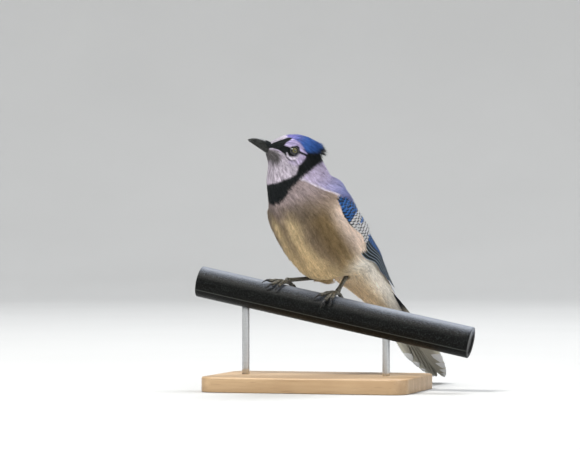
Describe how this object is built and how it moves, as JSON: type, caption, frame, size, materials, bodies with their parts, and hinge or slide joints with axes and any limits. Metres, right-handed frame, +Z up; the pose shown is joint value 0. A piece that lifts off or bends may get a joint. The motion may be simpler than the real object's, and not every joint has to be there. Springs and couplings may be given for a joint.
{
  "type": "blue jay on a perch",
  "caption": "Life-size blue jay standing with its head turned to its right, gripping a short cut length of thick black cable held by rods on a flat base.",
  "frame": {"origin": "middle of the underside of the stand's base, on the floor", "axes": "+Z up; +X along the base under the perch, towards the perch's lower end; the bird's breast faces -Y and its tail hangs behind towards +Y"},
  "size_m": [0.2282, 0.1955, 0.2041],
  "materials": {
    "head_feather": "soft blue plumage with a black band and pale cheeks",
    "body_feather": "soft grey plumage, paler on the belly",
    "covert_feather": "soft white plumage",
    "wing_feather": "smooth blue vanes with black bars and white tips",
    "tail_feather": "smooth blue vanes with black bars and white tips",
    "bill_horn": "satin black horn",
    "eye": "wet dark brown",
    "leg_skin": "dark scaly skin",
    "claw_horn": "satin black horn",
    "cable_jacket": "weathered black cable jacket",
    "stand_wood": "oiled light wood",
    "stand_steel": "brushed"
  },
  "bodies": {
    "root": {"head": "head_feather", "bill_upper": "bill_horn", "bill_lower": "bill_horn", "eye_left": "eye", "eye_right": "eye", "neck": "body_feather", "torso": "body_feather", "rump": "covert_feather", "wing_left": "wing_feather", "wing_right": "wing_feather", "tail": "tail_feather", "thigh_left": "body_feather", "thigh_right": "body_feather", "tarsus_left": "leg_skin", "tarsus_right": "leg_skin", "foot_left": "leg_skin", "foot_right": "leg_skin", "claw_left_inner": "claw_horn", "claw_left_middle": "claw_horn", "claw_left_outer": "claw_horn", "claw_left_hind": "claw_horn", "claw_right_inner": "claw_horn", "claw_right_middle": "claw_horn", "claw_right_outer": "claw_horn", "claw_right_hind": "claw_horn", "perch": "cable_jacket", "stand_base": "stand_wood", "stand_rod_left": "stand_steel", "stand_rod_right": "stand_steel"}
  },
  "joints": []
}
